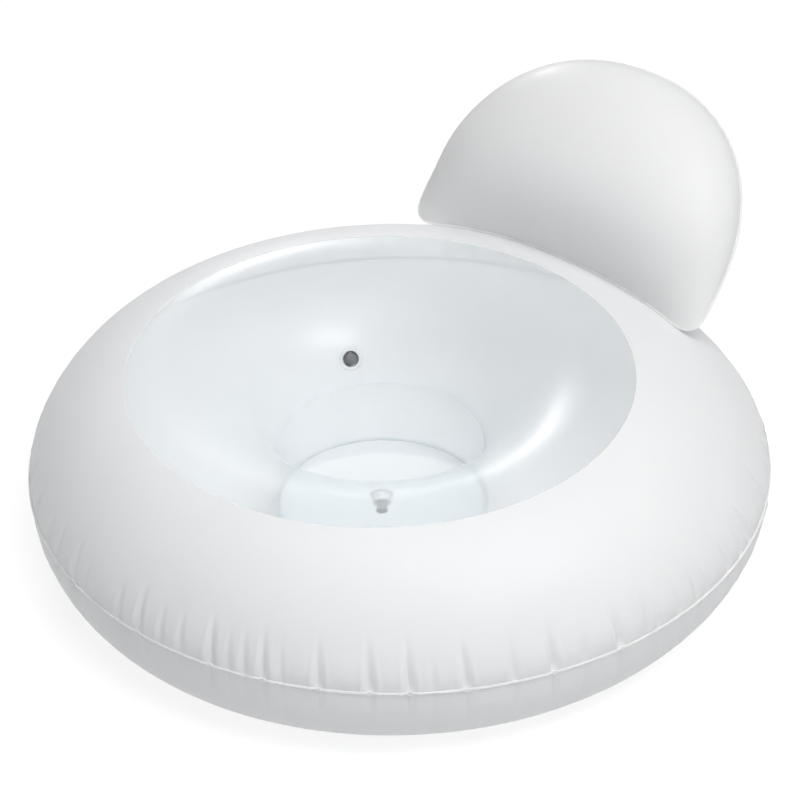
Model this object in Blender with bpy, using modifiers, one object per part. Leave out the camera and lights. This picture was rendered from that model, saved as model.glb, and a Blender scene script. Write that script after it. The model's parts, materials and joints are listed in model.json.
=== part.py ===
# Inflatable lounge chair: a white air ring with a clear bowl seat and a round backrest cushion.
# Blender 4.5, metres, +Z up. The backrest is at +Y and the chair stands on the plane z = 0.
# Run with: blender --background --python part.py

import math

import bmesh
import bpy
import numpy
from mathutils import Matrix, Vector

# Vinyl sheets and welds
sheet_thickness = 0.0006
fit_gap = 0.0003
weld_lap = 0.008
seam_flange = 0.0035

# Air ring, seen in section
seam_radius = 0.580
seam_height = 0.155
ring_rise = 0.188
crest_radius = 0.358
junction_radius = 0.394
top_fullness = 1.65
side_fullness = 2.5
tread_outer_radius = 0.362
tread_width = 0.066

# Bowl seat
seat_forward = 0.044
well_radius = 0.160
well_rim_height = 0.206
well_floor_height = 0.093
seat_bulge = 0.050
floor_sag = 0.006

# Backrest cushion, on a rim plane that leans back
back_centre_y = 0.441
back_centre_height = 0.3455
back_half_width = 0.2885
back_half_length = 0.2966
back_fullness = 2.2
back_crown_rise = 0.120
back_lean = math.radians(45.5)
back_front_depth = 0.105
back_rear_depth = 0.090
back_corner_round = 0.045
back_rim_gap = 0.0010
back_ring_clearance = 0.0012
back_foot_gap = 0.0012

# Air valve, along its own axis from the face of the sheet
valve_flange_radius = 0.018
valve_flange_thickness = 0.0016
valve_flange_proud = 0.0005
valve_well_radius = 0.013
valve_wall = 0.0010
valve_well_depth = 0.0145
stem_barrel_radius = 0.0090
stem_shank_radius = 0.0072
stem_bore_radius = 0.0034
stem_mouth_radius = 0.0052
stem_mouth_depth = 0.0062
stem_travel = 0.0115
stem_collar_height = 0.0018
stem_lug_width = 0.0070
stem_lug_height = 0.0022
plug_head_radius = 0.0086
plug_head_height = 0.0020
plug_tab_height = 0.0011
plug_pin_length = 0.0050
plug_hinge_reach = 0.0106
flap_radius = 0.0054
flap_thickness = 0.0008
joint_gap = 0.0004

# Places of the valves: turn about the seat's axis and share of the way down the seat's bulge,
# then the share of the way from the rear panel's middle to its top
rear_valve_turn = math.radians(145)
rear_valve_share = 0.85
front_valve_turn = math.radians(310)
front_valve_share = 0.90
back_valve_share = 0.10

# Facets
ring_steps = 56
valve_steps = 16
panel_steps = 48
panel_rings = 5
dome_powers = 16

top_segments = 8
side_segments = 6
bulge_segments = 8
under_segments = 4
floor_rings = 2


def start_scene():
    for old in list(bpy.data.objects):
        bpy.data.objects.remove(old, do_unlink=True)
    chair = bpy.data.collections.new("inflatable_lounge_chair")
    cutters = bpy.data.collections.new("cutters")
    for collection in (chair, cutters):
        bpy.context.scene.collection.children.link(collection)
    return chair, cutters


chair_parts, cutter_parts = start_scene()
chair = bpy.data.objects.new("chair", None)
chair_parts.objects.link(chair)


def vinyl(name, colour, roughness, alpha=1.0):
    material = bpy.data.materials.new(name)
    material.use_nodes = True
    shader = material.node_tree.nodes["Principled BSDF"]
    shader.inputs["Base Color"].default_value = (*colour, 1.0)
    shader.inputs["Roughness"].default_value = roughness
    shader.inputs["Metallic"].default_value = 0.0
    shader.inputs["Alpha"].default_value = alpha
    return material


def place(name, mesh, parent=chair, collection=chair_parts):
    obj = bpy.data.objects.new(name, mesh)
    obj.parent = parent
    collection.objects.link(obj)
    return obj


def evaluated_mesh(obj):
    bpy.context.view_layer.update()
    graph = bpy.context.evaluated_depsgraph_get()
    return bpy.data.meshes.new_from_object(obj.evaluated_get(graph))


def fix_modifiers(obj):
    """Keeps the shape that the modifiers so far have made."""
    mesh = evaluated_mesh(obj)
    obj.modifiers.clear()
    obj.data = mesh
    return mesh


def turn_profile(name, profile, steps, closed=False, parent=chair, collection=chair_parts):
    """A profile in (radius, height), turned about Z with a Screw modifier."""
    points = [(radius, 0.0, height) for radius, height in profile]
    edges = [(i, i + 1) for i in range(len(points) - 1)]
    if closed:
        edges.append((len(points) - 1, 0))
    mesh = bpy.data.meshes.new(name)
    mesh.from_pydata(points, edges, [])
    obj = place(name, mesh, parent, collection)
    screw = obj.modifiers.new("turn", "SCREW")
    screw.steps = screw.render_steps = steps
    screw.use_merge_vertices = True
    screw.merge_threshold = 0.00001
    fix_modifiers(obj)
    return obj


def face_out(mesh, outside=None):
    """Turns the faces to point out, or the way that outside gives at a face's centre."""
    shape = bmesh.new()
    shape.from_mesh(mesh)
    bmesh.ops.recalc_face_normals(shape, faces=shape.faces)
    shape.faces.ensure_lookup_table()
    if outside:
        face = max(shape.faces, key=lambda item: item.calc_area())
        if face.normal.dot(outside(face.calc_center_median())) < 0:
            bmesh.ops.reverse_faces(shape, faces=shape.faces)
    shape.to_mesh(mesh)
    shape.free()


def thicken(obj, thickness):
    solid = obj.modifiers.new("thickness", "SOLIDIFY")
    solid.thickness = thickness
    solid.offset = -1.0
    solid.use_even_offset = True


def finish(obj, material, sharp_angle=math.radians(35)):
    obj.data.materials.clear()
    obj.data.materials.append(material)
    obj.data.shade_smooth()
    obj.data.set_sharp_from_angle(angle=sharp_angle)


def join_or_cut(obj, other, operation):
    boolean = obj.modifiers.new(operation.lower(), "BOOLEAN")
    boolean.operation = operation
    boolean.solver = "EXACT"
    boolean.object = other
    other.hide_render = True
    other.display_type = "WIRE"


# The ring in section. Heights are above the floor, and radii are from the middle of each circle,
# because the smaller circles lie further forward.


def centre_shift(radius):
    """How far forward the middle of a circle of the ring lies."""
    share = (seam_radius - radius) / (seam_radius - junction_radius)
    return -seat_forward * min(max(share, 0.0), 1.0)


def top_height(radius):
    """Height of the white top, from its crest out to the seam."""
    share = min(max((radius - crest_radius) / (seam_radius - crest_radius), 0.0), 1.0)
    return seam_height + ring_rise * (1 - share**top_fullness) ** (1 / top_fullness)


def top_line():
    """From the seam up and over to the weld with the clear sheet."""
    share = (junction_radius - crest_radius) / (seam_radius - crest_radius)
    last = math.acos(share ** (top_fullness / 2))
    line = []
    for i in range(top_segments + 1):
        wide = math.cos(last * i / top_segments) ** (2 / top_fullness)
        radius = crest_radius + (seam_radius - crest_radius) * wide
        line.append((radius, top_height(radius)))
    return line


def side_line():
    """From the seam down to the tread that the chair stands on."""
    line = []
    for i in range(side_segments + 1):
        turn = math.pi / 2 * i / side_segments
        wide = max(math.cos(turn), 0.0) ** (2 / side_fullness)
        radius = tread_outer_radius + (seam_radius - tread_outer_radius) * wide
        line.append((radius, seam_height * (1 - math.sin(turn) ** (2 / side_fullness))))
    return line


def under_line(foot_height):
    """From the tread's inner edge, starting flat, up to the weld at the foot of the well."""
    start = tread_outer_radius - tread_width
    run = start - (well_radius + weld_lap)
    radius = (run * run + foot_height * foot_height) / (2 * foot_height)
    last = math.atan2(run, radius - foot_height)
    turns = [last * i / under_segments for i in range(under_segments + 1)]
    return [(start - radius * math.sin(turn), radius * (1 - math.cos(turn))) for turn in turns]


def arc_line(start, end, bulge, segments):
    """A round stretch from start to end that swells to the right of its direction."""
    (ax, az), (bx, bz) = start, end
    half = math.hypot(bx - ax, bz - az) / 2
    radius = (half * half + bulge * bulge) / (2 * bulge)
    right_x, right_z = (bz - az) / (2 * half), (ax - bx) / (2 * half)
    cx = (ax + bx) / 2 + right_x * (bulge - radius)
    cz = (az + bz) / 2 + right_z * (bulge - radius)
    first = math.atan2(az - cz, ax - cx)
    sweep = (math.atan2(bz - cz, bx - cx) - first + math.pi) % (2 * math.pi) - math.pi
    turns = [first + sweep * i / segments for i in range(segments + 1)]
    return [(cx + radius * math.cos(turn), cz + radius * math.sin(turn)) for turn in turns]


def inside_line(points, distance):
    """The same line moved to the left of its direction, into the air chamber, with mitred corners."""
    moved = []
    for i, (x, z) in enumerate(points):
        ends = [points[max(i - 1, 0)], (x, z), points[min(i + 1, len(points) - 1)]]
        sides = []
        for (ax, az), (bx, bz) in zip(ends, ends[1:]):
            length = math.hypot(bx - ax, bz - az)
            if length > 0:
                sides.append(((az - bz) / length, (bx - ax) / length))
        nx = sum(side[0] for side in sides) / len(sides)
        nz = sum(side[1] for side in sides) / len(sides)
        scale = distance / (nx * nx + nz * nz)
        moved.append((x + nx * scale, z + nz * scale))
    return moved


def lap_of(line):
    """The last stretch of a line, one weld lap long, moved inside by one layer."""
    (ax, az), (bx, bz) = line[-2], line[-1]
    share = weld_lap / math.hypot(bx - ax, bz - az)
    return inside_line([(bx + (ax - bx) * share, bz + (az - bz) * share), (bx, bz)], layer)


layer = sheet_thickness + fit_gap
white_line = top_line()
seat_lap = lap_of(white_line)
seat_line = arc_line(seat_lap[-1], (well_radius, well_rim_height), seat_bulge, bulge_segments)


def turned_sheet(name, line, material):
    """A sheet turned from its outer line, then moved forward circle by circle and thickened."""
    obj = turn_profile(name, line, ring_steps)
    mesh = obj.data
    (ax, az), (bx, bz) = max(zip(line, line[1:]), key=lambda ends: math.dist(*ends) * (ends[0][0] + ends[1][0]))

    def outside(spot):
        radial = Vector((spot.x, spot.y, 0)).normalized()
        return radial * (bz - az) + Vector((0, 0, ax - bx))

    face_out(mesh, outside)
    for vertex in mesh.vertices:
        vertex.co.y += centre_shift(math.hypot(vertex.co.x, vertex.co.y))
    thicken(obj, sheet_thickness)
    finish(obj, material)
    return obj


def ring_top_sheet():
    outer = seam_height + fit_gap / 2 + sheet_thickness
    line = [(seam_radius + seam_flange, outer), (seam_radius, outer)] + white_line[1:]
    turned_sheet("ring_top_sheet", line, white_vinyl)


def ring_bottom_sheet():
    outer = seam_height - fit_gap / 2 - sheet_thickness
    foot_height = well_floor_height - sheet_thickness - layer
    line = [(well_radius, foot_height)] + under_line(foot_height)[::-1] + side_line()[::-1][:-1]
    line += [(seam_radius, outer), (seam_radius + seam_flange, outer)]
    turned_sheet("ring_bottom_sheet", line, white_vinyl)


def seat_sheet():
    return turned_sheet("seat_sheet", seat_lap[:1] + seat_line, clear_vinyl)


def inner_wall():
    lap = lap_of(seat_line)
    radius, top = lap[-1]
    foot = well_floor_height + fit_gap
    line = lap + [(radius, (top + foot) / 2), (radius, foot), (radius + weld_lap, foot)]
    turned_sheet("inner_wall", line, clear_vinyl)


def seat_floor():
    sags = [1 - i * i / floor_rings**2 for i in range(floor_rings, -1, -1)]
    line = [(well_radius + weld_lap, well_floor_height)]
    for i, sag in zip(range(floor_rings, -1, -1), sags):
        line.append((well_radius * i / floor_rings, well_floor_height - floor_sag * sag))
    turned_sheet("seat_floor", line, clear_vinyl)


# The backrest: two panels welded rim to rim in a plane that leans back. Its outline is a full
# circle, cut off below where it meets the ring, and its rear panel lies on the ring's shoulder.

lean_up = Vector((0.0, math.sin(back_lean), math.cos(back_lean)))
lean_out = Vector((0.0, -math.cos(back_lean), math.sin(back_lean)))
back_centre = Vector((0.0, back_centre_y, back_centre_height))
back_crown = back_centre + lean_up * back_crown_rise


def ring_height_at(x, y):
    """Height of the ring's top over a place."""
    centre = 0.0
    for _ in range(16):
        centre = centre_shift(math.hypot(x, y - centre))
    return top_height(math.hypot(x, y - centre))


def reach_while(inside, high=2 * (back_half_length + back_crown_rise)):
    """The longest reach at which inside still holds, by halving."""
    low = 0.0
    for _ in range(32):
        middle = (low + high) / 2
        if inside(middle):
            low = middle
        else:
            high = middle
    return low


def rim_reach(turn):
    """How far the rim weld lies from the crown, in the direction of turn."""
    side, up = math.cos(turn), math.sin(turn)
    flange_drop = seam_flange * math.cos(back_lean) + sheet_thickness + back_foot_gap

    def inside(reach):
        across = abs(side * reach / back_half_width)
        along = abs((up * reach + back_crown_rise) / back_half_length)
        size = (across**back_fullness + along**back_fullness) ** (1 / back_fullness)
        past_circle = (size - 1) * back_half_width
        spot = back_crown + lean_up * up * reach
        past_foot = ring_height_at(side * reach, spot.y) + flange_drop - spot.z
        blend = min(max(0.5 + (past_circle - past_foot) / (2 * back_corner_round), 0.0), 1.0)
        past = past_foot + (past_circle - past_foot) * blend
        return past + back_corner_round * blend * (1 - blend) < 0

    return reach_while(inside)


def rim_outline(steps):
    """Points of the rim weld, across the chair and up the lean from the crown, closer in its corners."""
    fine = 8 * steps
    turns = [2 * math.pi * i / fine + math.pi / 2 for i in range(fine + 1)]
    points = [Vector((math.cos(turn), math.sin(turn))) * rim_reach(turn) for turn in turns]
    bends = [0.0]
    for before, middle, after in zip(points, points[1:], points[2:]):
        bends.append((after - middle).angle(middle - before))
    bends.append(0.0)
    lengths = [0.0]
    for i in range(fine):
        closer = back_corner_round * (bends[i] + bends[i + 1]) / 2
        lengths.append(lengths[-1] + (points[i + 1] - points[i]).length + closer)
    outline = []
    first = 0
    for i in range(steps):
        wanted = lengths[-1] * i / steps
        while lengths[first + 1] <= wanted:
            first += 1
        part = (wanted - lengths[first]) / (lengths[first + 1] - lengths[first])
        outline.append(points[first].lerp(points[first + 1], part))
    return outline


rim = rim_outline(panel_steps)
fine_rim = rim_outline(4 * panel_steps)
rim_top = max(point.y for point in fine_rim)
rim_foot = min(point.y for point in fine_rim)
rim_middle = Vector((0, (rim_top + rim_foot) / 2))


def dome_terms(points):
    """Powers of a place about the rim's middle, whose sums never peak inside the rim."""
    places = numpy.array([complex(*(point - rim_middle)) for point in points]) / back_half_width
    powers = places[:, None] ** numpy.arange(dome_powers)
    return numpy.hstack([powers.real, powers.imag]), numpy.abs(places) ** 2


rim_terms, rim_squares = dome_terms(fine_rim)
dome_factors = numpy.linalg.lstsq(rim_terms, rim_squares, rcond=None)[0]


def dome_height(point):
    """Height of a blown-up pillow of the rim's shape, 0 on the rim."""
    terms, squares = dome_terms([point])
    return math.sqrt(max((terms @ dome_factors - squares)[0], 0.0))


dome_crown = dome_height(rim_middle)


def clear_of_ring(spot):
    return spot.z > ring_height_at(spot.x, spot.y) + back_ring_clearance


def panel(name, depth, side):
    """Half of a sphere, shaped to the outline and the depth, with a flat flange round its rim."""
    shape = bmesh.new()
    bmesh.ops.create_uvsphere(shape, u_segments=panel_steps, v_segments=2 * panel_rings, radius=1.0)
    lower = [vertex for vertex in shape.verts if round(vertex.co.z, 3) < 0]
    bmesh.ops.delete(shape, geom=lower, context="VERTS")
    edges = [edge for edge in shape.edges if edge.is_boundary]
    grown = bmesh.ops.extrude_edge_only(shape, edges=edges)["geom"]
    flange = {item for item in grown if isinstance(item, bmesh.types.BMVert)}
    on_rim = {vertex for edge in edges for vertex in edge.verts}
    for vertex in shape.verts:
        i = round(math.atan2(vertex.co.y, vertex.co.x) / (2 * math.pi) * panel_steps) % panel_steps
        point = rim_middle + (rim[i] - rim_middle) * math.hypot(vertex.co.x, vertex.co.y)
        level = 0.0 if vertex in flange or vertex in on_rim else depth * dome_height(point) / dome_crown
        if vertex in flange:
            ahead = (rim[(i + 1) % panel_steps] - rim[i - 1]).normalized()
            point += Vector((ahead.y, -ahead.x)) * seam_flange
        spot = back_crown + Vector((point.x, 0, 0)) + lean_up * point.y
        spot += lean_out * side * (back_rim_gap / 2 + sheet_thickness)
        if side < 0:
            level = reach_while(lambda drop: clear_of_ring(spot - lean_out * drop), level)
        vertex.co = spot + lean_out * side * level
    mesh = bpy.data.meshes.new(name)
    shape.to_mesh(mesh)
    shape.free()
    face_out(mesh, lambda spot: lean_out * side)
    obj = place(name, mesh)
    thicken(obj, sheet_thickness)
    finish(obj, white_vinyl)
    return obj


# The air valves. Along a valve's own +Z the air leaves, z = 0 is the sheet's outer face, and the
# plug's hinge is on the +X side.

stem_top = valve_flange_proud
well_floor_top = valve_wall - valve_well_depth
barrel_bottom = well_floor_top + joint_gap
collar_top = -valve_well_depth - stem_travel - joint_gap
stem_bottom = collar_top - stem_collar_height
hinge_height = stem_top + joint_gap
flap_top = stem_bottom - joint_gap


def valve_frame(prefix, spot, normal, towards):
    """An empty at spot with +Z along normal and +X as near as can be to towards."""
    up = normal.normalized()
    forward = (towards - up * towards.dot(up)).normalized()
    matrix = Matrix((forward, up.cross(forward), up)).transposed().to_4x4()
    matrix.translation = spot
    empty = bpy.data.objects.new(prefix + "_valve", None)
    empty.parent = chair
    empty.matrix_local = matrix
    chair_parts.objects.link(empty)
    return empty


def block(low, high):
    """A plain block between two corners, to join to a turned piece."""
    shape = bmesh.new()
    bmesh.ops.create_cube(shape, size=1.0)
    bmesh.ops.scale(shape, vec=Vector(high) - Vector(low), verts=shape.verts)
    bmesh.ops.translate(shape, vec=(Vector(high) + Vector(low)) / 2, verts=shape.verts)
    mesh = bpy.data.meshes.new("block")
    shape.to_mesh(mesh)
    shape.free()
    return mesh


def valve_piece(name, profile, frame, material, closed=True, lug=None, origin=(0, 0, 0)):
    """A turned piece, with a block joined to it if it has one, and its origin on its own axis."""
    obj = turn_profile(name, profile, valve_steps, closed, frame)
    face_out(obj.data)
    if lug:
        helper = place("lug", lug, frame, cutter_parts)
        join_or_cut(obj, helper, "UNION")
        fix_modifiers(obj)
        bpy.data.objects.remove(helper, do_unlink=True)
    obj.data.transform(Matrix.Translation(-Vector(origin)))
    obj.location = origin
    finish(obj, material)
    return obj


def valve_base(prefix, frame):
    low = valve_flange_proud - valve_flange_thickness
    outer = valve_well_radius + valve_wall
    hole = stem_shank_radius + joint_gap
    profile = [
        (valve_well_radius, valve_flange_proud),
        (valve_flange_radius, valve_flange_proud),
        (valve_flange_radius, low),
        (outer, low),
        (outer, -valve_well_depth),
        (hole, -valve_well_depth),
        (hole, well_floor_top),
        (valve_well_radius, well_floor_top),
    ]
    valve_piece(prefix + "_valve_base", profile, frame, valve_vinyl)


def valve_stem(prefix, frame):
    profile = [
        (stem_mouth_radius, stem_top),
        (stem_barrel_radius, stem_top),
        (stem_barrel_radius, barrel_bottom),
        (stem_shank_radius, barrel_bottom),
        (stem_shank_radius, collar_top),
        (stem_barrel_radius, collar_top),
        (stem_barrel_radius, stem_bottom),
        (stem_bore_radius, stem_bottom),
        (stem_bore_radius, stem_top - stem_mouth_depth),
    ]
    half = stem_lug_width / 2
    start = (stem_shank_radius + stem_barrel_radius) / 2
    end = plug_hinge_reach + fit_gap
    lug = block((start, -half, stem_top - stem_lug_height), (end, half, stem_top))
    valve_piece(prefix + "_valve_stem", profile, frame, valve_vinyl, lug=lug)


def valve_plug(prefix, frame):
    slope = (stem_mouth_radius - stem_bore_radius) / stem_mouth_depth
    pin_top = stem_mouth_radius - joint_gap
    pin_end = hinge_height - plug_pin_length
    crown = hinge_height + plug_head_height
    edge = plug_head_height / 4
    profile = [
        (0.0, crown),
        (plug_head_radius - edge, crown),
        (plug_head_radius, crown - edge),
        (plug_head_radius, hinge_height),
        (pin_top, hinge_height),
        (pin_top - slope * plug_pin_length, pin_end),
        (0.0, pin_end),
    ]
    half = stem_lug_width / 2
    low = (plug_head_radius - plug_tab_height, -half, hinge_height)
    tab = block(low, (plug_hinge_reach, half, hinge_height + plug_tab_height))
    hinge = (plug_hinge_reach, 0, hinge_height)
    return valve_piece(prefix + "_valve_plug", profile, frame, plug_vinyl, False, tab, hinge)


def valve_flap(prefix, frame):
    low = flap_top - flap_thickness
    profile = [(0.0, flap_top), (flap_radius, flap_top), (flap_radius, low), (0.0, low)]
    hinge = (flap_radius, 0, flap_top)
    return valve_piece(prefix + "_valve_flap", profile, frame, plug_vinyl, False, None, hinge)


def valve_hole(sheet, frame):
    """Cuts the opening in the sheet that the base's flange fills."""
    radius, tall = valve_flange_radius + fit_gap, valve_flange_radius
    profile = [(0.0, tall), (radius, tall), (radius, -tall), (0.0, -tall)]
    cutter = turn_profile("hole", profile, valve_steps, False, frame, cutter_parts)
    face_out(cutter.data)
    join_or_cut(sheet, cutter, "DIFFERENCE")


def bowl_valve_place(turn, share):
    """Place, outward normal and uphill direction on the seat's bulge."""
    first = min(int(share * bulge_segments), bulge_segments - 1)
    (ax, az), (bx, bz) = seat_line[first], seat_line[first + 1]
    part = share * bulge_segments - first
    radial = Vector((math.cos(turn), math.sin(turn), 0))
    spot = radial * (ax + (bx - ax) * part) + Vector((0, -seat_forward, az + (bz - az) * part))
    uphill = radial * (ax - bx) + Vector((0, 0, az - bz))
    normal = radial * (bz - az) + Vector((0, 0, ax - bx))
    return spot, normal, uphill


def back_valve_place():
    """Place, outward normal and uphill direction on the rear panel, above its middle."""
    point = rim_middle + Vector((0, (rim_top - rim_middle.y) * back_valve_share))
    step = Vector((0, valve_flange_radius))
    high, low = (dome_height(point + step), dome_height(point - step))
    slope = back_rear_depth * (low - high) / dome_crown / (2 * valve_flange_radius)
    level = back_rear_depth * dome_height(point) / dome_crown + back_rim_gap / 2 + sheet_thickness
    spot = back_crown + lean_up * point.y - lean_out * level
    normal = lean_up * slope - lean_out
    return spot, normal, lean_up


def valve(prefix, sheet, spot, normal, uphill):
    frame = valve_frame(prefix, spot, normal, uphill)
    valve_hole(sheet, frame)
    valve_base(prefix, frame)
    valve_stem(prefix, frame)
    plug = valve_plug(prefix, frame)
    flap = valve_flap(prefix, frame)
    return frame, plug, flap


white_vinyl = vinyl("white_vinyl", (0.86, 0.86, 0.86), 0.42)
clear_vinyl = vinyl("clear_vinyl", (0.88, 0.92, 0.95), 0.12, alpha=0.35)
valve_vinyl = vinyl("valve_vinyl", (0.55, 0.57, 0.58), 0.35)
plug_vinyl = vinyl("plug_vinyl", (0.42, 0.43, 0.44), 0.40)

ring_top_sheet()
ring_bottom_sheet()
bowl = seat_sheet()
inner_wall()
seat_floor()
panel("backrest_front_panel", back_front_depth, 1)
rear_panel = panel("backrest_rear_panel", back_rear_depth, -1)

valves = [
    valve("bowl_rear", bowl, *bowl_valve_place(rear_valve_turn, rear_valve_share)),
    valve("bowl_front", bowl, *bowl_valve_place(front_valve_turn, front_valve_share)),
    valve("backrest", rear_panel, *back_valve_place()),
]


def centre_along_y():
    """Moves the whole chair so that its middle, front to back, is over the origin."""
    bpy.context.view_layer.update()
    corners = [obj.matrix_world @ Vector(corner) for obj in chair_parts.objects if obj.data for corner in obj.bound_box]
    depths = [corner.y for corner in corners]
    chair.location.y = -(min(depths) + max(depths)) / 2
    bpy.context.view_layer.update()


centre_along_y()
for frame, plug, flap in valves:
    print(frame.name, "axis", [round(value, 5) for value in frame.matrix_world.col[2][:3]])
    print(frame.name, "side", [round(value, 5) for value in frame.matrix_world.col[1][:3]])
    for obj in (frame, plug, flap):
        print(obj.name, "origin", [round(value, 5) for value in obj.matrix_world.translation])
print("chair moved by", round(chair.location.y, 5))
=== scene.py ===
import json
import math

import bmesh
import bpy
import numpy as np
from mathutils import Matrix, Vector


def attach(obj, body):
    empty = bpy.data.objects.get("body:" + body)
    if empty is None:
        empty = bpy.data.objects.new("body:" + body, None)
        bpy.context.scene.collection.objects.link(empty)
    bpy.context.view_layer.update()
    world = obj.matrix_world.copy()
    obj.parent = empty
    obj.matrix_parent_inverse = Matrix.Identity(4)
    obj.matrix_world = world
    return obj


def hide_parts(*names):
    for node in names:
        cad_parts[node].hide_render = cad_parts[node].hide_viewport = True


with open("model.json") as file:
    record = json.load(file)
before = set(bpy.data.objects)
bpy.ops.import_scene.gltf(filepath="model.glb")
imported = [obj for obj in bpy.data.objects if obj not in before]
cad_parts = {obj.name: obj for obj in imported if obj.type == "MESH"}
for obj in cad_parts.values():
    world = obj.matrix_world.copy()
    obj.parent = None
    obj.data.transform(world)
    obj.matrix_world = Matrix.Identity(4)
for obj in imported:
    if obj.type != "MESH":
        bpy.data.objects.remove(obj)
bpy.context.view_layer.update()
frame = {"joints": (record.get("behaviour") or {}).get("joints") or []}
scene = bpy.context.scene
scene.view_settings.view_transform = "Standard"

cameraSet = {
    "place": (2.70527, -3.28508, 3.22250), "turn": (54.9635, 0.7278, 39.2902),  # metres and degrees
    "lens": 148.887, "sensor": 36,  # mm
    "near": 0.05, "far": 60,
}
camera = bpy.data.objects.new("camera", bpy.data.cameras.new("camera"))
camera.data.lens = cameraSet["lens"]
camera.data.sensor_width = cameraSet["sensor"]
camera.data.clip_start = cameraSet["near"]
camera.data.clip_end = cameraSet["far"]
camera.location = cameraSet["place"]
camera.rotation_euler = [math.radians(a) for a in cameraSet["turn"]]
scene.collection.objects.link(camera)
scene.camera = camera
print("camera placed")

meshing = {
    "merge": 1e-6,  # metres
    "sheetSharp": 55, "valveSharp": 40,  # degrees, past which an edge is sharp
}


# Turns the faces of an open sheet so that they point the way that outside(place) says.
def faceOut(bm, outside):
    bmesh.ops.recalc_face_normals(bm, faces=bm.faces)
    agree = sum(f.calc_area() * f.normal.dot(outside(f.calc_center_median())) for f in bm.faces)
    if agree < 0:
        bmesh.ops.reverse_faces(bm, faces=bm.faces)


def spunLine(points, steps):  # a grid bent round Z, with a line of (radius, height) points as its section
    bm = bmesh.new()
    rows = len(points) - 1
    bmesh.ops.create_grid(bm, x_segments=steps, y_segments=rows, size=0.5)
    for v in bm.verts:
        turn = (v.co.x + 0.5) * 2 * math.pi
        radius, height = points[round((v.co.y + 0.5) * rows)]
        v.co = (radius * math.cos(turn), radius * math.sin(turn), height)
    bmesh.ops.remove_doubles(bm, verts=bm.verts, dist=meshing["merge"])
    return bm


def meshOf(bm, name):
    mesh = bpy.data.meshes.new(name)
    bm.to_mesh(mesh)
    bm.free()
    return mesh


def applyModifiers(obj):
    graph = bpy.context.evaluated_depsgraph_get()
    mesh = bpy.data.meshes.new_from_object(obj.evaluated_get(graph))
    obj.modifiers.clear()
    obj.data = mesh


# Links a finished mesh, gives it a wall if it is a sheet, and lets it ride on its body.
def newPiece(name, bm, material, node, body="chair", thickness=0.0, sharp=meshing["sheetSharp"]):
    obj = bpy.data.objects.new(name, meshOf(bm, name))
    scene.collection.objects.link(obj)
    obj.data.materials.append(material)
    if thickness:
        wall = obj.modifiers.new("wall", "SOLIDIFY")
        wall.thickness = thickness
        wall.offset = -1
        wall.use_even_offset = True
        applyModifiers(obj)
    for polygon in obj.data.polygons:
        polygon.use_smooth = True
    obj.data.set_sharp_from_angle(angle=math.radians(sharp))
    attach(obj, body)
    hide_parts(node)
    return obj


class Nodes:  # a few words to write the node tree of a material or the world with
    def __init__(self, owner, output="ShaderNodeOutputMaterial"):
        owner.use_nodes = True
        self.tree = owner.node_tree
        self.tree.nodes.clear()
        self.out = self.add(output)

    def add(self, kind, inputs=None, **settings):
        node = self.tree.nodes.new(kind)
        for key, value in settings.items():
            setattr(node, key, value)
        for key, value in (inputs or {}).items():
            self.put(value, node.inputs[key])
        return node

    def put(self, value, socket):
        if isinstance(value, bpy.types.NodeSocket):
            self.tree.links.new(value, socket)
        elif isinstance(value, bpy.types.Node):
            self.tree.links.new(value.outputs[0], socket)
        else:
            socket.default_value = value

    def finish(self, shader):
        self.put(shader, self.out.inputs["Surface"])

    def place(self):
        return self.add("ShaderNodeTexCoord").outputs["Object"]

    def noise(self, scale, detail):
        return self.add("ShaderNodeTexNoise", {"Vector": self.place(), "Scale": scale, "Detail": detail})

    def spread(self, value, low, high, fromLow=0.3, fromHigh=0.7):
        return self.add("ShaderNodeMapRange", {"Value": value, "From Min": fromLow, "From Max": fromHigh,
                                               "To Min": low, "To Max": high})

    def between(self, share, first, second):  # a colour between two
        mix = self.add("ShaderNodeMix", {0: share, 6: (*first, 1), 7: (*second, 1)}, data_type="RGBA")
        return mix.outputs[2]

    def bump(self, height, distance, under=None):
        inputs = {"Height": height, "Distance": distance}
        if under:
            inputs["Normal"] = under
        return self.add("ShaderNodeBump", inputs)

    def seen(self):  # 1 for what the camera looks at, straight or by way of a shine or a film
        path = self.add("ShaderNodeLightPath")
        most = path.outputs["Is Camera Ray"]
        for way in ("Is Glossy Ray", "Is Transmission Ray"):
            most = self.add("ShaderNodeMath", {0: most, 1: path.outputs[way]}, operation="MAXIMUM")
        return most


def whiteVinyl():  # a thin white sheet, which lets part of the light through to its other side
    look = {
        "colour": (0.850, 0.850, 0.852), "shade": (0.825, 0.825, 0.828), "through": (0.95, 0.952, 0.955),
        "letsThrough": 0.50, "roughness": (0.36, 0.46), "blotches": 5.0, "smears": 40.0,
        "grains": 900.0, "grainDepth": 0.00004, "waves": 9.0, "waveDepth": 0.0012,
    }
    material = bpy.data.materials.new("whiteVinyl")
    s = Nodes(material)
    grain = s.bump(s.noise(look["grains"], 2.0), look["grainDepth"])
    waves = s.bump(s.noise(look["waves"], 2.0), look["waveDepth"], grain)
    blotches = s.spread(s.noise(look["blotches"], 3.0), 0.0, 1.0)
    surface = s.add("ShaderNodeBsdfPrincipled", {
        "Base Color": s.between(blotches, look["colour"], look["shade"]),
        "Roughness": s.spread(s.noise(look["smears"], 3.0), *look["roughness"]),
        "IOR": 1.5,
        "Normal": waves,
    })
    through = s.add("ShaderNodeBsdfTranslucent", {"Color": (*look["through"], 1), "Normal": waves})
    s.finish(s.add("ShaderNodeMixShader", {0: look["letsThrough"], 1: surface, 2: through}))
    return material


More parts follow.
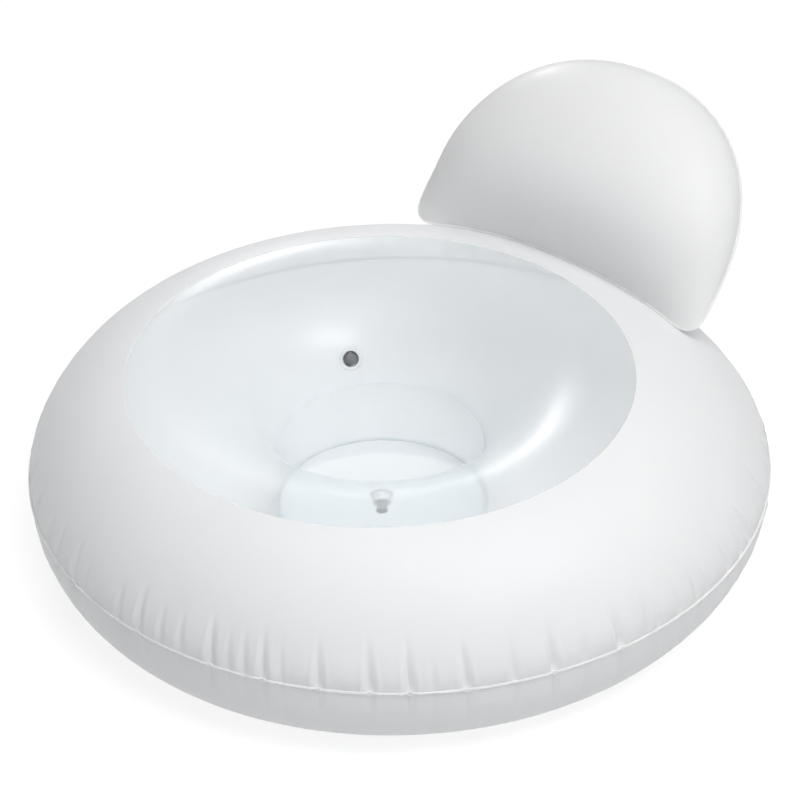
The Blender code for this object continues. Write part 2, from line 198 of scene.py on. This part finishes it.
# A film with a milky cast, more of it where the sheet is seen along its face. Shade darkens the milk: painted
# shade, for a sheet that lies in the shadow under the chair.
def clearVinyl(name, cast, shade=1.0):
    look = {
        "film": (0.965, 0.988, 0.997), "filmAlong": (0.86, 0.90, 0.925),
        "milk": (0.935, 0.975, 0.997), "milkThrough": 0.36, "castAlong": 0.60,
        "blend": 0.35, "slantPower": 2.0, "gloss": 0.062, "roughness": 0.31,
        "waves": 6.0, "waveDepth": 0.0012,
    }
    material = bpy.data.materials.new(name)
    s = Nodes(material)
    # a shade below 1 paints shade into the milk's colour
    cloudy = (*[shade * part for part in look["milk"]], 1)
    waves = s.bump(s.noise(look["waves"], 1.0), look["waveDepth"])
    along = s.add("ShaderNodeLayerWeight", {"Blend": look["blend"], "Normal": waves}).outputs["Facing"]
    slant = s.add("ShaderNodeMath", {0: along, 1: look["slantPower"]}, operation="POWER")
    film = s.add("ShaderNodeBsdfTransparent", {"Color": s.between(slant, look["film"], look["filmAlong"])})
    milk = s.add("ShaderNodeMixShader", {
        0: look["milkThrough"],
        1: s.add("ShaderNodeBsdfDiffuse", {"Color": cloudy, "Normal": waves}),
        2: s.add("ShaderNodeBsdfTranslucent", {"Color": cloudy}),
    })
    share = s.spread(slant, cast, look["castAlong"], 0.0, 1.0)
    body = s.add("ShaderNodeMixShader", {0: share, 1: film, 2: milk})
    shine = s.add("ShaderNodeBsdfGlossy",
                  {"Color": (1, 1, 1, 1), "Roughness": look["roughness"], "Normal": waves})
    front = s.add("ShaderNodeMixShader", {0: look["gloss"], 1: body, 2: shine})
    behind = s.add("ShaderNodeNewGeometry").outputs["Backfacing"]  # the film's own far side adds nothing
    nothing = s.add("ShaderNodeBsdfTransparent", {"Color": (1, 1, 1, 1)})
    s.finish(s.add("ShaderNodeMixShader", {0: behind, 1: front, 2: nothing}))
    return material


def mouldedVinyl(name, light, dark):
    look = {
        "roughness": (0.26, 0.40), "clouds": 120.0, "smears": 300.0, "grains": 1500.0, "grainDepth": 0.00003,
    }
    material = bpy.data.materials.new(name)
    s = Nodes(material)
    clouds = s.spread(s.noise(look["clouds"], 3.0), 0.0, 1.0)
    s.finish(s.add("ShaderNodeBsdfPrincipled", {
        "Base Color": s.between(clouds, light, dark),
        "Roughness": s.spread(s.noise(look["smears"], 3.0), *look["roughness"]),
        "Normal": s.bump(s.noise(look["grains"], 2.0), look["grainDepth"]),
    }))
    return material


white = whiteVinyl()
clear = clearVinyl("clearVinyl", 0.27)
wellClear = clearVinyl("wellVinyl", 0.38)  # the well's wall and floor are milkier
# the seat's floor also has its milk darkened, as painted shade for the shadow in the well under the chair
floorClear = clearVinyl("floorVinyl", 0.80, 0.82)
valveGrey = mouldedVinyl("valveVinyl", (0.66, 0.69, 0.71), (0.60, 0.63, 0.65))
stemGrey = mouldedVinyl("stemVinyl", (0.30, 0.31, 0.32), (0.25, 0.26, 0.27))
plugGrey = mouldedVinyl("plugVinyl", (0.14, 0.145, 0.15), (0.11, 0.115, 0.12))
print("materials made")

ring = {
    "shift": -0.04171,  # from the ring's own middle to the model's
    "seamRadius": 0.580, "seamHeight": 0.155, "rise": 0.188,
    "crestRadius": 0.358, "junctionRadius": 0.394,
    "topFullness": 1.65, "sideFullness": 2.5,
    "treadOuterRadius": 0.362, "treadWidth": 0.066,
    "sheet": 0.0006, "gap": 0.0003, "lap": 0.008, "flange": 0.0035,
    "steps": 1440, "topRows": 26, "sideRows": 15, "underRows": 5,
}
seat = {
    "forward": 0.044, "wellRadius": 0.160, "rimHeight": 0.206, "floorHeight": 0.093,
    "bulge": 0.050, "sag": 0.006, "steps": 320, "rows": 26, "wallRows": 6, "floorRings": 12,
}


def centreShift(radius):  # the bowl lies forward in the ring, and the circles between them follow
    share = (ring["seamRadius"] - radius) / (ring["seamRadius"] - ring["junctionRadius"])
    return -seat["forward"] * np.clip(share, 0, 1)


def topHeight(radius):
    share = np.clip((radius - ring["crestRadius"]) / (ring["seamRadius"] - ring["crestRadius"]), 0, 1)
    full = ring["topFullness"]
    return ring["seamHeight"] + ring["rise"] * (1 - share**full) ** (1 / full)


def topLine():  # from the outer weld over the crest to the clear sheet
    wide = ring["seamRadius"] - ring["crestRadius"]
    share = (ring["junctionRadius"] - ring["crestRadius"]) / wide
    last = math.acos(share ** (ring["topFullness"] / 2))
    line = []
    for i in range(ring["topRows"] + 1):
        turn = last * i / ring["topRows"]
        radius = ring["crestRadius"] + wide * math.cos(turn) ** (2 / ring["topFullness"])
        line.append((radius, topHeight(radius)))
    return line


def sideLine():  # from the outer weld down to the tread
    wide, power = ring["seamRadius"] - ring["treadOuterRadius"], 2 / ring["sideFullness"]
    line = []
    for i in range(ring["sideRows"] + 1):
        turn = math.pi / 2 * i / ring["sideRows"]
        radius = ring["treadOuterRadius"] + wide * max(math.cos(turn), 0.0) ** power
        line.append((radius, ring["seamHeight"] * (1 - math.sin(turn) ** power)))
    return line


def underLine(footHeight):  # from the tread's inner edge up under the seat, as one arc
    start = ring["treadOuterRadius"] - ring["treadWidth"]
    run = start - (seat["wellRadius"] + ring["lap"])
    radius = (run * run + footHeight * footHeight) / (2 * footHeight)
    last = math.atan2(run, radius - footHeight)
    turns = [last * i / ring["underRows"] for i in range(ring["underRows"] + 1)]
    return [(start - radius * math.sin(t), radius * (1 - math.cos(t))) for t in turns]


def arcLine(start, end, bulge, rows):
    (ax, az), (bx, bz) = start, end
    half = math.hypot(bx - ax, bz - az) / 2
    radius = (half * half + bulge * bulge) / (2 * bulge)
    rightX, rightZ = (bz - az) / (2 * half), (ax - bx) / (2 * half)
    cx = (ax + bx) / 2 + rightX * (bulge - radius)
    cz = (az + bz) / 2 + rightZ * (bulge - radius)
    first = math.atan2(az - cz, ax - cx)
    sweep = (math.atan2(bz - cz, bx - cx) - first + math.pi) % (2 * math.pi) - math.pi
    turns = [first + sweep * i / rows for i in range(rows + 1)]
    return [(cx + radius * math.cos(t), cz + radius * math.sin(t)) for t in turns]


# The last stretch of a line, one lap long, moved to the left of its direction.
def insideLap(line, lap, distance):
    (ax, az), (bx, bz) = line[-2], line[-1]
    length = math.hypot(bx - ax, bz - az)
    nx, nz = (az - bz) / length * distance, (bx - ax) / length * distance
    share = lap / length
    return [(bx + (ax - bx) * share + nx, bz + (az - bz) * share + nz), (bx + nx, bz + nz)]


# Creases in the outer weld: turn in degrees, then strength. Those of the photographed side are listed,
# and waves of (size, pace, start) about a middle value set the others' strength and spacing.
pleats = {
    "listed": [
        (263.5, 0.6), (267.9, 1.0), (272.1, 0.6), (275.7, 0.6), (281.0, 1.0), (283.9, 0.5), (286.4, 0.7),
        (289.4, 1.0), (292.1, 0.4), (297.7, 0.9), (305.1, 1.0), (310.8, 1.0), (314.2, 0.35),
        (318.9, 1.0), (325.9, 0.6), (332.0, 1.0), (337.0, 0.5), (343.2, 1.0), (348.3, 0.45), (350.6, 0.5),
        (355.1, 0.4), (358.9, 0.5), (361.6, 0.4), (367.5, 0.6),
    ],
    "othersFrom": 12.0, "othersTo": 259.5,
    "strength": (0.68, (0.22, 2.4, 0), (0.12, 5.1, 1)), "spacing": (5.0, (1.5, 3.7, 0), (0.9, 7.9, 2)),
    "depth": 0.0100, "atSeam": 0.20, "openAt": 0.012,  # the depth's share at the weld, and where it is full
    "width": 0.0048, "leastWidth": 0.7,
    "reachUp": 0.088, "reachDown": 0.040, "leastReach": 0.55, "fadePower": 1.3,
    "rounding": 0.05, "peak": 0.22, "lip": 0.30, "lipPlace": 2.6, "lipWidth": 0.9,  # the groove's section
    "puff": 0.0022, "puffStart": 0.02, "puffEnd": 0.085, "puffGain": 1.6,
    "usualSpan": 5.5, "mostSpan": 1.6,
}


def uneven(waves, count):
    value, *others = waves
    for size, pace, start in others:
        value += size * math.sin(pace * count + start)
    return value


def allPleats():
    found = [(turn % 360, strength) for turn, strength in pleats["listed"]]
    turn, count = pleats["othersFrom"], 0
    while turn < pleats["othersTo"]:
        found.append((turn, uneven(pleats["strength"], count)))
        count += 1
        turn += uneven(pleats["spacing"], count)
    return sorted(found)


def pleatRing(bm, line, seamIndex):  # presses the creases into a turned sheet, and puffs it between them
    p = pleats
    verts = list(bm.verts)
    co = np.array([v.co for v in verts])
    bm.normal_update()
    normal = np.array([v.normal for v in verts])
    turn = np.degrees(np.arctan2(co[:, 1], co[:, 0])) % 360
    radius = np.hypot(co[:, 0], co[:, 1])
    section = np.array(line)
    offRadius, offHeight = radius[:, None] - section[None, :, 0], co[:, 2][:, None] - section[None, :, 1]
    nearest = np.argmin(offRadius**2 + offHeight**2, axis=1)
    along = [0.0]
    for (ax, az), (bx, bz) in zip(line, line[1:]):
        along.append(along[-1] + math.hypot(bx - ax, bz - az))
    away = np.abs(np.array(along) - along[seamIndex])[nearest]  # from the weld
    longest = np.where(section[nearest, 1] >= ring["seamHeight"], p["reachUp"], p["reachDown"])
    rise = p["atSeam"] + (1 - p["atSeam"]) * np.clip(away / p["openAt"], 0, 1)
    soft = np.clip(away / p["puffStart"], 0, 1) * np.clip(1 - away / p["puffEnd"], 0, 1) * p["puffGain"]
    wider, further = 1 - p["leastWidth"], 1 - p["leastReach"]
    move = np.zeros(len(verts))
    creases = allPleats()
    for i, (place, strength) in enumerate(creases):
        across = np.radians((turn - place + 180) % 360 - 180) * ring["seamRadius"]
        fade = np.clip(1 - away / (longest * (p["leastReach"] + further * strength)), 0, 1)
        width = p["width"] * (p["leastWidth"] + wider * fade) * (p["leastWidth"] + wider * strength)
        size = np.abs(across) / width
        groove = np.exp(-np.sqrt(size**2 + p["rounding"]) + p["peak"])
        groove -= p["lip"] * np.exp(-((size - p["lipPlace"]) / p["lipWidth"]) ** 2)
        move -= p["depth"] * strength * rise * fade ** p["fadePower"] * groove
        span = (creases[(i + 1) % len(creases)][0] - place) % 360
        inside = (turn - place) % 360 / span  # 0 to 1 from this crease to the next
        swell = p["puff"] * min(span / p["usualSpan"], p["mostSpan"]) * soft * (1 - (2 * inside - 1) ** 2)
        move += np.where(inside < 1, swell, 0)
    co += normal * move[:, None]
    for v, place in zip(verts, co):
        v.co = place


# A sheet turned round the ring. It faces the side to the right of its section line.
def turnedSheet(name, line, steps, material, node, seamIndex=None):
    bm = spunLine(line, steps)
    (ax, az), (bx, bz) = max(zip(line, line[1:]), key=lambda e: math.dist(*e) * (e[0][0] + e[1][0]))
    faceOut(bm, lambda p: Vector((p.x, p.y, 0)).normalized() * (bz - az) + Vector((0, 0, ax - bx)))
    if seamIndex is not None:
        pleatRing(bm, line, seamIndex)
    for v in bm.verts:
        v.co.y += centreShift(math.hypot(v.co.x, v.co.y)) + ring["shift"]
    return newPiece(name, bm, material, node, thickness=ring["sheet"])


layer = ring["sheet"] + ring["gap"]
whiteLine = topLine()
seatLap = insideLap(whiteLine, ring["lap"], layer)
seatLine = arcLine(seatLap[-1], (seat["wellRadius"], seat["rimHeight"]), seat["bulge"], seat["rows"])
outer = ring["seamHeight"] + ring["gap"] / 2 + ring["sheet"]
line = [(ring["seamRadius"] + ring["flange"], outer), (ring["seamRadius"], outer)] + whiteLine[1:]
ringTop = turnedSheet("ringTop", line, ring["steps"], white, "ring_top_sheet", 1)
outer = ring["seamHeight"] - ring["gap"] / 2 - ring["sheet"]
footHeight = seat["floorHeight"] - ring["sheet"] - layer
line = [(seat["wellRadius"], footHeight)] + underLine(footHeight)[::-1] + sideLine()[::-1][:-1]
line += [(ring["seamRadius"], outer), (ring["seamRadius"] + ring["flange"], outer)]
ringBottom = turnedSheet("ringBottom", line, ring["steps"], white, "ring_bottom_sheet",
                         len(line) - 2)
print("ring made:", len(ringTop.data.polygons), len(ringBottom.data.polygons))

valveSet = {
    "flangeRadius": 0.018, "flangeThickness": 0.0016, "proud": 0.0005,
    "wellRadius": 0.013, "wall": 0.0010, "wellDepth": 0.0145,
    "barrelRadius": 0.0090, "shankRadius": 0.0072, "boreRadius": 0.0034,
    "mouthRadius": 0.0052, "mouthDepth": 0.0062, "travel": 0.0115,
    "collarHeight": 0.0018, "lugWidth": 0.0070, "lugHeight": 0.0022,
    "headRadius": 0.0086, "headHeight": 0.0020, "tabHeight": 0.0011,
    "pinLength": 0.0050, "hingeReach": 0.0106, "flapRadius": 0.0054, "flapThickness": 0.0008,
    "play": 0.0004, "gap": 0.0003, "steps": 64,
    "baseBevel": 0.00025, "bevel": 0.0002, "flapBevel": 0.00015,
    "roundFrom": 0.5, "plugRoundFrom": 0.3,  # radians: edges that turn more than this are rounded
}
joints = {joint["name"]: joint for joint in frame["joints"]}


# Where a valve sits, read from its joints: +Z out of the sheet, +X towards its plug's hinge.
def valveMatrix(label):
    v = valveSet
    out = Vector(joints[label + "_stem_pull"]["axis"]).normalized()
    hinge = joints[label + "_plug_hinge"]
    side = Vector(hinge["axis"]).normalized()
    ahead = side.cross(out).normalized()
    matrix = Matrix((ahead, side, out)).transposed().to_4x4()
    matrix.translation = Vector(hinge["pos_m"]) - ahead * v["hingeReach"] - out * (v["proud"] + v["play"])
    return matrix


def cutHole(piece, matrix):
    bm = bmesh.new()
    radius = valveSet["flangeRadius"] + valveSet["gap"]
    halfStep = Matrix.Rotation(math.pi / valveSet["steps"], 4, "Z")  # keeps its corners off the sheet's edges
    bmesh.ops.create_cone(bm, cap_ends=True, segments=valveSet["steps"], radius1=radius, radius2=radius,
                          depth=4 * valveSet["flangeRadius"], matrix=matrix @ halfStep)
    cutter = bpy.data.objects.new("cutter", meshOf(bm, "cutter"))
    scene.collection.objects.link(cutter)
    cut = piece.modifiers.new("hole", "BOOLEAN")
    cut.operation, cut.solver, cut.object = "DIFFERENCE", "EXACT", cutter
    applyModifiers(piece)
    bpy.data.objects.remove(cutter)
    piece.data.set_sharp_from_angle(angle=math.radians(meshing["sheetSharp"]))


def roundEdges(bm, edges, bevel):
    bmesh.ops.bevel(bm, geom=edges, offset=bevel, segments=2, profile=0.5, affect="EDGES",
                    material=-1, clamp_overlap=True)


# A turned solid with its edges rounded.
def turnedBody(profile, closed, bevel, roundFrom=valveSet["roundFrom"]):
    bm = bmesh.new()
    verts = [bm.verts.new((r, 0, z)) for r, z in profile]
    edges = [bm.edges.new(pair) for pair in zip(verts, verts[1:])]
    if closed:
        edges.append(bm.edges.new((verts[-1], verts[0])))
    bmesh.ops.spin(bm, geom=verts + edges, cent=(0, 0, 0), axis=(0, 0, 1), angle=2 * math.pi,
                   steps=valveSet["steps"], use_merge=True, use_duplicate=False)
    bmesh.ops.remove_doubles(bm, verts=bm.verts, dist=meshing["merge"])
    bmesh.ops.recalc_face_normals(bm, faces=bm.faces)
    roundEdges(bm, [e for e in bm.edges if e.calc_face_angle(0) > roundFrom], bevel)
    return bm


def roundedBlock(bm, low, high, bevel):
    made = bmesh.ops.create_cube(bm, size=1)["verts"]
    bmesh.ops.scale(bm, vec=Vector(high) - Vector(low), verts=made)
    bmesh.ops.translate(bm, vec=(Vector(high) + Vector(low)) / 2, verts=made)
    roundEdges(bm, list({e for v in made for e in v.link_edges}), bevel)


def makeValve(label, prefix):
    v = valveSet
    matrix = valveMatrix(label)
    top, floor = v["proud"], v["wall"] - v["wellDepth"]
    barrelBottom = floor + v["play"]
    collarTop = -v["wellDepth"] - v["travel"] - v["play"]
    stemBottom = collarTop - v["collarHeight"]
    hingeHeight = top + v["play"]
    flapTop = stemBottom - v["play"]
    low = v["proud"] - v["flangeThickness"]
    outerRadius, hole = v["wellRadius"] + v["wall"], v["shankRadius"] + v["play"]
    half = v["lugWidth"] / 2

    base = turnedBody([
        (v["wellRadius"], top), (v["flangeRadius"], top), (v["flangeRadius"], low), (outerRadius, low),
        (outerRadius, -v["wellDepth"]), (hole, -v["wellDepth"]), (hole, floor), (v["wellRadius"], floor),
    ], True, v["baseBevel"])
    stem = turnedBody([
        (v["mouthRadius"], top), (v["barrelRadius"], top), (v["barrelRadius"], barrelBottom),
        (v["shankRadius"], barrelBottom), (v["shankRadius"], collarTop), (v["barrelRadius"], collarTop),
        (v["barrelRadius"], stemBottom), (v["boreRadius"], stemBottom),
        (v["boreRadius"], top - v["mouthDepth"]),
    ], True, v["bevel"])
    roundedBlock(stem, ((v["shankRadius"] + v["barrelRadius"]) / 2, -half, top - v["lugHeight"]),
                 (v["hingeReach"] + v["gap"], half, top), v["bevel"])
    slope = (v["mouthRadius"] - v["boreRadius"]) / v["mouthDepth"]
    pinTop, pinEnd = v["mouthRadius"] - v["play"], hingeHeight - v["pinLength"]
    crown, edge = hingeHeight + v["headHeight"], v["headHeight"] / 4
    plug = turnedBody([
        (0, crown), (v["headRadius"] - edge, crown), (v["headRadius"], crown - edge),
        (v["headRadius"], hingeHeight), (pinTop, hingeHeight), (pinTop - slope * v["pinLength"], pinEnd),
        (0, pinEnd),
    ], False, v["bevel"], v["plugRoundFrom"])
    roundedBlock(plug, (v["headRadius"] - v["tabHeight"], -half, hingeHeight),
                 (v["hingeReach"], half, hingeHeight + v["tabHeight"]), v["bevel"])
    flapBottom = flapTop - v["flapThickness"]
    flap = turnedBody([
        (0, flapTop), (v["flapRadius"], flapTop), (v["flapRadius"], flapBottom), (0, flapBottom),
    ], False, v["flapBevel"])
    for word, bm, material, slot, body in (
        ("base", base, valveGrey, "valve_vinyl", "chair"),
        ("stem", stem, stemGrey, "valve_vinyl", label + "_stem"),
        ("plug", plug, plugGrey, "plug_vinyl", label + "_plug"),
        ("flap", flap, plugGrey, "plug_vinyl", label + "_flap"),
    ):
        bmesh.ops.transform(bm, matrix=matrix, verts=bm.verts)
        newPiece(prefix + word.capitalize(), bm, material, label + "_valve_" + word, body,
                 sharp=meshing["valveSharp"])
    return matrix


line = seatLap[:1] + seatLine
seatSheet = turnedSheet("seatSheet", line, seat["steps"], clear, "seat_sheet")
line = insideLap(seatLine, ring["lap"], layer)
radius, top = line[-1]
foot = seat["floorHeight"] + ring["gap"]
line += [(radius, top + (foot - top) * i / seat["wallRows"]) for i in range(1, seat["wallRows"] + 1)]
line += [(radius + ring["lap"], foot)]
turnedSheet("innerWall", line, seat["steps"], wellClear, "inner_wall")
line = [(seat["wellRadius"] + ring["lap"], seat["floorHeight"])]
for i in range(seat["floorRings"], -1, -1):
    share = i / seat["floorRings"]
    line.append((seat["wellRadius"] * share, seat["floorHeight"] - seat["sag"] * (1 - share * share)))
turnedSheet("seatFloor", line, seat["steps"], floorClear, "seat_floor")
for label, prefix in (("bowl_rear", "rearValve"), ("bowl_front", "frontValve")):
    cutHole(seatSheet, makeValve(label, prefix))
print("seat made")

# The backrest: two panels welded rim to rim in a plane that leans back. Its outline is a full
# round, cut off below where it meets the ring, and the rear panel lies on the ring's shoulder.
back = {
    "centreY": 0.441, "centreHeight": 0.3455, "halfWidth": 0.2885, "halfLength": 0.2966,
    "fullness": 2.2, "crownRise": 0.120, "lean": math.radians(45.5),
    "frontDepth": 0.105, "rearDepth": 0.090, "domePower": 0.5, "footSlack": 0.42, "cornerRound": 0.045,
    "rimGap": 0.0010, "ringClearance": 0.0012, "footGap": 0.0012,
    "steps": 320, "rows": 40, "terms": 16, "finer": 8,  # the outline is first found this much finer
    "longestReach": 0.85, "halvings": 30, "rounds": 12,
    "flangeRow": 1.02, "rimFrom": 0.9999,  # on a unit dome, whose rim is at 1
}
leanUp = np.array((0, math.sin(back["lean"]), math.cos(back["lean"])))
leanOut = np.array((0, -math.cos(back["lean"]), math.sin(back["lean"])))
across = np.array((1.0, 0, 0))
backCentre = np.array((0, back["centreY"], back["centreHeight"]))
backCrown = backCentre + leanUp * back["crownRise"]


def ringHeightAt(x, y):  # the ring's top at a place, whose circle's own shift is found in a few rounds
    centre = 0 * x
    for _ in range(back["rounds"]):
        centre = centreShift(np.hypot(x, y - centre))
    return topHeight(np.hypot(x, y - centre))


def reachWhile(inside, high):  # the longest reach at which inside still holds, by halving
    low = 0 * high
    for _ in range(back["halvings"]):
        middle = (low + high) / 2
        held = inside(middle)
        low, high = np.where(held, middle, low), np.where(held, high, middle)
    return low


def rimReach(turn):
    side, up = np.cos(turn), np.sin(turn)
    drop = ring["flange"] * math.cos(back["lean"]) + ring["sheet"] + back["footGap"]

    def inside(reach):
        wide = np.abs(side * reach / back["halfWidth"])
        long = np.abs((up * reach + back["crownRise"]) / back["halfLength"])
        size = (wide ** back["fullness"] + long ** back["fullness"]) ** (1 / back["fullness"])
        pastCircle = (size - 1) * back["halfWidth"]
        spot = backCrown + np.outer(up * reach, leanUp)
        pastFoot = ringHeightAt(side * reach, spot[:, 1]) + drop - spot[:, 2]
        blend = np.clip(0.5 + (pastCircle - pastFoot) / (2 * back["cornerRound"]), 0, 1)
        return pastFoot + (pastCircle - pastFoot) * blend + back["cornerRound"] * blend * (1 - blend) < 0

    return reachWhile(inside, np.full(len(turn), back["longestReach"]))


def rimOutline(count):  # points of the rim weld, closer in its corners
    turn = np.linspace(0, 2 * math.pi, back["finer"] * count + 1) + math.pi / 2
    points = np.stack([np.cos(turn), np.sin(turn)], 1) * rimReach(turn)[:, None]
    ways = np.diff(points, axis=0)
    heading = np.unwrap(np.arctan2(ways[:, 1], ways[:, 0]))
    bend = np.abs(np.diff(heading, append=heading[0] + 2 * math.pi))
    steps = np.hypot(ways[:, 0], ways[:, 1]) + back["cornerRound"] * bend
    lengths = np.concatenate([[0], np.cumsum(steps)])
    wanted = np.linspace(0, lengths[-1], count, endpoint=False)
    return np.stack([np.interp(wanted, lengths, points[:, k]) for k in (0, 1)], 1)


backOutline = rimOutline(back["steps"])
backMiddle = (backOutline.max(0) + backOutline.min(0)) / 2


def domeTerms(points):  # powers of the place, whose sums are smooth and never peak inside
    place = ((points - backMiddle) @ np.array([1, 1j])) / back["halfWidth"]
    powers = place[:, None] ** np.arange(back["terms"])
    return np.hstack([powers.real, powers.imag]), np.abs(place) ** 2


rimTerms, rimSquare = domeTerms(backOutline)
domeShare = np.linalg.lstsq(rimTerms, rimSquare, rcond=1e-9)[0]


def domeHeight(points):  # 0 on the rim, full inside like a blown-up pillow, and slacker towards the foot
    terms, square = domeTerms(points)
    swell = np.maximum(terms @ domeShare - square, 0)
    low = np.clip((backMiddle[1] - points[:, 1]) / (backMiddle[1] - backOutline[:, 1].min()), 0, 1)
    return swell ** (back["domePower"] + back["footSlack"] * low**2)


domeCrown = domeHeight(backMiddle[None])[0]


def backPanel(name, depth, side, node):
    rows, steps = back["rows"], back["steps"]
    turns = [math.pi / 2 * i / rows for i in range(rows + 1)]
    bm = spunLine([(back["flangeRow"], 0)] + [(math.cos(t), math.sin(t)) for t in turns], steps)
    co = np.array([v.co for v in bm.verts])
    flat = np.hypot(co[:, 0], co[:, 1])
    step = np.round(np.arctan2(co[:, 1], co[:, 0]) / (2 * math.pi) * steps).astype(int) % steps
    place = backMiddle + (backOutline[step] - backMiddle) * np.minimum(flat, 1)[:, None]
    ahead = backOutline[(step + 1) % steps] - backOutline[step - 1]
    ahead /= np.hypot(ahead[:, 0], ahead[:, 1])[:, None]
    flange = flat > (1 + back["flangeRow"]) / 2
    place[flange] += np.stack([ahead[flange, 1], -ahead[flange, 0]], 1) * ring["flange"]
    spot = backCrown + np.outer(place[:, 0], across) + np.outer(place[:, 1], leanUp)
    spot += leanOut * side * (back["rimGap"] / 2 + ring["sheet"])
    level = depth * domeHeight(place) / domeCrown
    level[flat > back["rimFrom"]] = 0

    def clearOfRing(reach):
        there = spot - np.outer(reach, leanOut)
        return there[:, 2] > ringHeightAt(there[:, 0], there[:, 1]) + back["ringClearance"]

    if side < 0:
        level = reachWhile(clearOfRing, level)
    spot += np.outer(level * side, leanOut)
    for v, p in zip(bm.verts, spot):
        v.co = (p[0], p[1] + ring["shift"], p[2])
    faceOut(bm, lambda p: Vector(leanOut * side))
    piece = newPiece(name, bm, white, node, thickness=ring["sheet"])
    return piece


backPanel("backrestFront", back["frontDepth"], 1, "backrest_front_panel")
backRear = backPanel("backrestRear", back["rearDepth"], -1, "backrest_rear_panel")
cutHole(backRear, makeValve("backrest", "backrestValve"))
print("backrest made")

# Each lamp: azimuth and elevation in degrees, seen from the chair with 0 towards -Y and 90 towards +X,
# then the distance, the light that it gives the chair, its two sizes and whether it shows as a highlight.
light = {
    "over": {"azimuth": 60, "elevation": 75, "distance": 4.5,
             "gives": 0.66, "size": (4.0, 4.0), "gloss": False},
    "side": {"azimuth": 88, "elevation": 58, "distance": 4.5,
             "gives": 0.23, "size": (3.4, 3.4), "gloss": False},
    "front": {"azimuth": 40, "elevation": 40, "distance": 4.5,
              "gives": 0.14, "size": (3.0, 3.0), "gloss": False},
    "window": {"azimuth": 88, "elevation": 51, "distance": 4.5,
               "gives": 0.19, "size": (3.0, 0.8), "gloss": True},
    "edge": {"azimuth": -131, "elevation": 18, "distance": 4.5,
             "gives": 0.15, "size": (1.0, 0.5), "gloss": True},
}
studio = {
    "middle": Vector((0, -0.05, 0.2)), "sky": 0.04, "floorRadius": 7.0, "floorDrop": 0.0002, "floorSides": 96,
    "floorSeen": 0.36, "floorGlow": 0.78, "floorBounce": 0.55, "floorFade": (1.2, 2.6),
}
for name, lampSet in light.items():
    lamp = bpy.data.objects.new(name, bpy.data.lights.new(name, "AREA"))
    lamp.data.shape = "ELLIPSE"
    lamp.data.size, lamp.data.size_y = lampSet["size"]
    lamp.data.energy = lampSet["gives"] * (math.pi * lampSet["distance"]) ** 2
    side, rise = math.radians(lampSet["azimuth"]), math.radians(lampSet["elevation"])
    way = Vector((math.sin(side) * math.cos(rise), -math.cos(side) * math.cos(rise), math.sin(rise)))
    lamp.location = studio["middle"] + way * lampSet["distance"]
    lamp.rotation_euler = way.to_track_quat("Z", "Y").to_euler()
    lamp.visible_camera = False
    lamp.visible_glossy = lampSet["gloss"]
    scene.collection.objects.link(lamp)


def paleFloor():  # what the camera sees of it glows almost white, and runs out to plain white
    material = bpy.data.materials.new("paleFloor")
    s = Nodes(material)
    plain = s.add("ShaderNodeBsdfDiffuse", {"Color": (*[studio["floorBounce"]] * 3, 1)})
    shaded = s.add("ShaderNodeBsdfDiffuse", {"Color": (*[studio["floorSeen"]] * 3, 1)})
    glow = s.add("ShaderNodeEmission", {"Color": (1, 1, 1, 1), "Strength": studio["floorGlow"]})
    near = s.add("ShaderNodeAddShader", {0: shaded, 1: glow})
    away = s.add("ShaderNodeVectorMath", {0: s.place()}, operation="LENGTH").outputs["Value"]
    far = s.spread(away, 0.0, 1.0, *studio["floorFade"])
    paper = s.add("ShaderNodeEmission", {"Color": (1, 1, 1, 1)})
    shown = s.add("ShaderNodeMixShader", {0: far, 1: near, 2: paper})
    s.finish(s.add("ShaderNodeMixShader", {0: s.seen(), 1: plain, 2: shown}))
    return material


bm = bmesh.new()
bmesh.ops.create_circle(bm, cap_ends=True, segments=studio["floorSides"], radius=studio["floorRadius"])
bmesh.ops.translate(bm, vec=(0, 0, -studio["floorDrop"]), verts=bm.verts)
floorObject = bpy.data.objects.new("floor", meshOf(bm, "floor"))
floorObject.data.materials.append(paleFloor())
scene.collection.objects.link(floorObject)

scene.world = bpy.data.worlds.new("studio")
s = Nodes(scene.world, "ShaderNodeOutputWorld")
sky = s.add("ShaderNodeBackground", {"Strength": studio["sky"]})
paper = s.add("ShaderNodeBackground", {"Color": (1, 1, 1, 1)})
s.finish(s.add("ShaderNodeMixShader", {0: s.seen(), 1: sky, 2: paper}))
print("lit")
